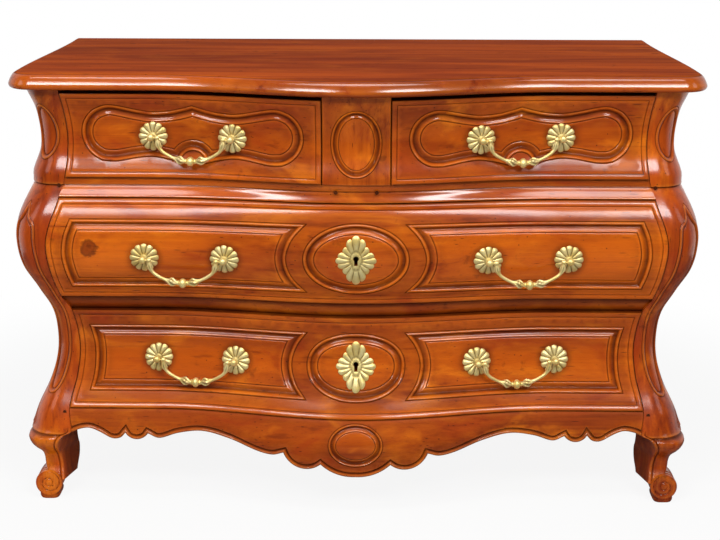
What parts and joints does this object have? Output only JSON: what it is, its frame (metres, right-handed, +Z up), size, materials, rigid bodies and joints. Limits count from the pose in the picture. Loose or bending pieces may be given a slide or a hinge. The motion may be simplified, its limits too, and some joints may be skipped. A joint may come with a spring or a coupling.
{
  "type": "bombe chest",
  "caption": "Bombe chest of drawers with a serpentine front: short drawers over long drawers, swinging bail handles, and carved corner posts on scrolled feet.",
  "frame": {"origin": "on the floor below the middle of the chest's overall box", "axes": "+Z up, front of the drawers towards -Y, +X to the right as one faces the front"},
  "size_m": [1.3, 0.65, 0.84],
  "materials": {
    "polished_wood": "aged wax polish over stained walnut or cherry",
    "top_wood": "aged wax polish, a little darker than the front",
    "inside_wood": "plain sawn oak and pine, unpolished",
    "aged_brass": "cast, chased and lightly tarnished",
    "lock_iron": "forged and filed"
  },
  "bodies": {
    "carcass": {"top_board": "top_wood", "front_post_left": "polished_wood", "front_post_right": "polished_wood", "rear_post_left": "polished_wood", "rear_post_right": "polished_wood", "side_panel_left": "polished_wood", "side_panel_right": "polished_wood", "side_apron_left": "polished_wood", "side_apron_right": "polished_wood", "front_top_rail": "inside_wood", "waist_rail": "polished_wood", "middle_rail": "polished_wood", "front_apron": "polished_wood", "centre_stile": "polished_wood", "upper_runners": "inside_wood", "middle_runners": "inside_wood", "lower_runners": "inside_wood", "drawer_guides": "inside_wood", "bottom_board": "inside_wood", "back_top_rail": "inside_wood", "back_bottom_rail": "inside_wood", "back_muntin": "inside_wood", "back_panels": "inside_wood", "frame_pegs": "polished_wood"},
    "drawer_upper_left": {"drawer_front_upper_left": "polished_wood", "drawer_sides_upper_left": "inside_wood", "drawer_back_upper_left": "inside_wood", "drawer_bottom_upper_left": "inside_wood", "rosettes_upper_left": "aged_brass", "bail_posts_upper_left": "aged_brass"},
    "drawer_upper_right": {"drawer_front_upper_right": "polished_wood", "drawer_sides_upper_right": "inside_wood", "drawer_back_upper_right": "inside_wood", "drawer_bottom_upper_right": "inside_wood", "rosettes_upper_right": "aged_brass", "bail_posts_upper_right": "aged_brass"},
    "drawer_middle": {"drawer_front_middle": "polished_wood", "drawer_sides_middle": "inside_wood", "drawer_back_middle": "inside_wood", "drawer_bottom_middle": "inside_wood", "rosettes_middle": "aged_brass", "bail_posts_middle": "aged_brass", "escutcheon_middle": "aged_brass", "lock_case_middle": "lock_iron"},
    "drawer_lower": {"drawer_front_lower": "polished_wood", "drawer_sides_lower": "inside_wood", "drawer_back_lower": "inside_wood", "drawer_bottom_lower": "inside_wood", "rosettes_lower": "aged_brass", "bail_posts_lower": "aged_brass", "escutcheon_lower": "aged_brass", "lock_case_lower": "lock_iron"},
    "bail_upper_left": {"bail_upper_left": "aged_brass"},
    "bail_upper_right": {"bail_upper_right": "aged_brass"},
    "bail_middle_left": {"bail_middle_left": "aged_brass"},
    "bail_middle_right": {"bail_middle_right": "aged_brass"},
    "bail_lower_left": {"bail_lower_left": "aged_brass"},
    "bail_lower_right": {"bail_lower_right": "aged_brass"},
    "lock_bolt_middle": {"lock_bolt_middle": "lock_iron"},
    "lock_bolt_lower": {"lock_bolt_lower": "lock_iron"}
  },
  "joints": [
    {"name": "slide_upper_left", "type": "slide", "parent": "carcass", "child": "drawer_upper_left", "axis": [0, -1, 0], "range_m": [0, 0.36]},
    {"name": "slide_upper_right", "type": "slide", "parent": "carcass", "child": "drawer_upper_right", "axis": [0, -1, 0], "range_m": [0, 0.36]},
    {"name": "slide_middle", "type": "slide", "parent": "carcass", "child": "drawer_middle", "axis": [0, -1, 0], "range_m": [0, 0.36]},
    {"name": "slide_lower", "type": "slide", "parent": "carcass", "child": "drawer_lower", "axis": [0, -1, 0], "range_m": [0, 0.36]},
    {"name": "swing_upper_left", "type": "hinge", "parent": "drawer_upper_left", "child": "bail_upper_left", "pos_m": [-0.30918, -0.23775, 0.721], "axis": [-0.9873, 0.159, 0], "range_deg": [0, 95]},
    {"name": "swing_upper_right", "type": "hinge", "parent": "drawer_upper_right", "child": "bail_upper_right", "pos_m": [0.30918, -0.23775, 0.721], "axis": [-0.9873, -0.159, 0], "range_deg": [0, 95]},
    {"name": "swing_middle_left", "type": "hinge", "parent": "drawer_middle", "child": "bail_middle_left", "pos_m": [-0.32442, -0.27579, 0.497], "axis": [-0.9975, 0.0711, 0], "range_deg": [0, 95]},
    {"name": "swing_middle_right", "type": "hinge", "parent": "drawer_middle", "child": "bail_middle_right", "pos_m": [0.32442, -0.27579, 0.497], "axis": [-0.9975, -0.0711, 0], "range_deg": [0, 95]},
    {"name": "swing_lower_left", "type": "hinge", "parent": "drawer_lower", "child": "bail_lower_left", "pos_m": [-0.31054, -0.22242, 0.284], "axis": [-0.9919, 0.1269, 0], "range_deg": [0, 95]},
    {"name": "swing_lower_right", "type": "hinge", "parent": "drawer_lower", "child": "bail_lower_right", "pos_m": [0.31054, -0.22242, 0.284], "axis": [-0.9919, -0.1269, 0], "range_deg": [0, 95]},
    {"name": "lock_middle", "type": "slide", "parent": "drawer_middle", "child": "lock_bolt_middle", "axis": [0, 0, 1], "range_m": [0, 0.01]},
    {"name": "lock_lower", "type": "slide", "parent": "drawer_lower", "child": "lock_bolt_lower", "axis": [0, 0, 1], "range_m": [0, 0.01]}
  ]
}
